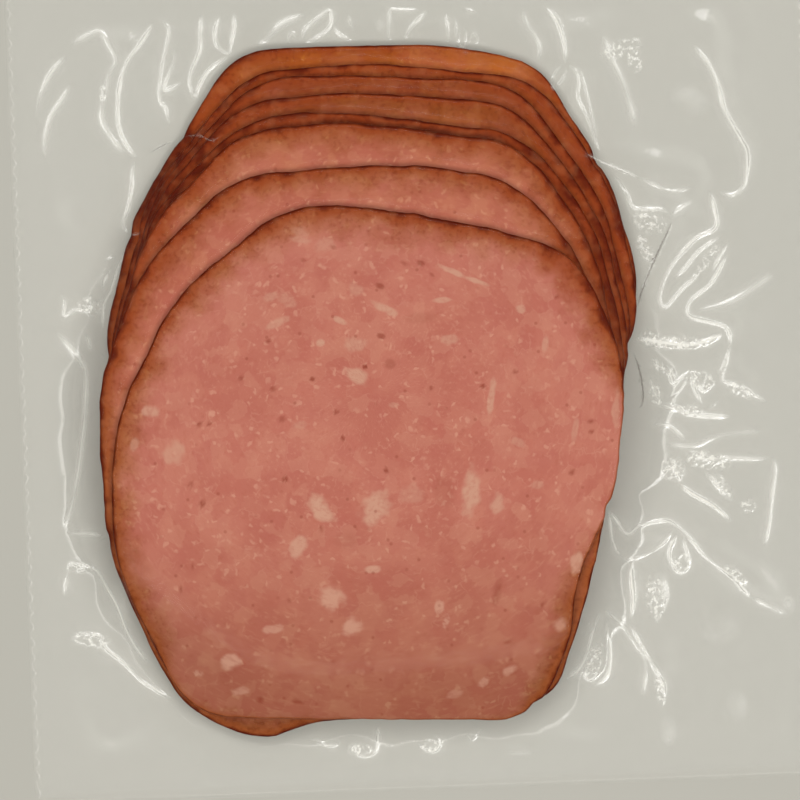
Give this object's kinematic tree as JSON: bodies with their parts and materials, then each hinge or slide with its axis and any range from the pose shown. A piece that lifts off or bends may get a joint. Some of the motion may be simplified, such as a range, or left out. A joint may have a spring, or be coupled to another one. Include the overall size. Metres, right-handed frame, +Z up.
{
  "type": "vacuum pack of smoked ham slices",
  "caption": "Clear vacuum pouch, wrinkled round its contents and flat at the heat seal, holding fanned round slices of smoked ham.",
  "frame": {"origin": "middle of the pouch's underside, on the surface it lies on", "axes": "+Z up out of the pack's front, +Y towards the fanned upper edges of the slices, +X to the right seen from above"},
  "size_m": [0.176, 0.18, 0.0139],
  "materials": {
    "clear_film": "clear soft film, glossy, thin",
    "ham": "moist cooked meat with pale fat flecks and a brown smoked rind"
  },
  "bodies": {
    "root": {"back_film": "clear_film", "front_film": "clear_film", "slice_1": "ham", "slice_2": "ham", "slice_3": "ham", "slice_4": "ham", "slice_5": "ham", "slice_6": "ham", "slice_7": "ham", "slice_8": "ham"}
  },
  "joints": []
}
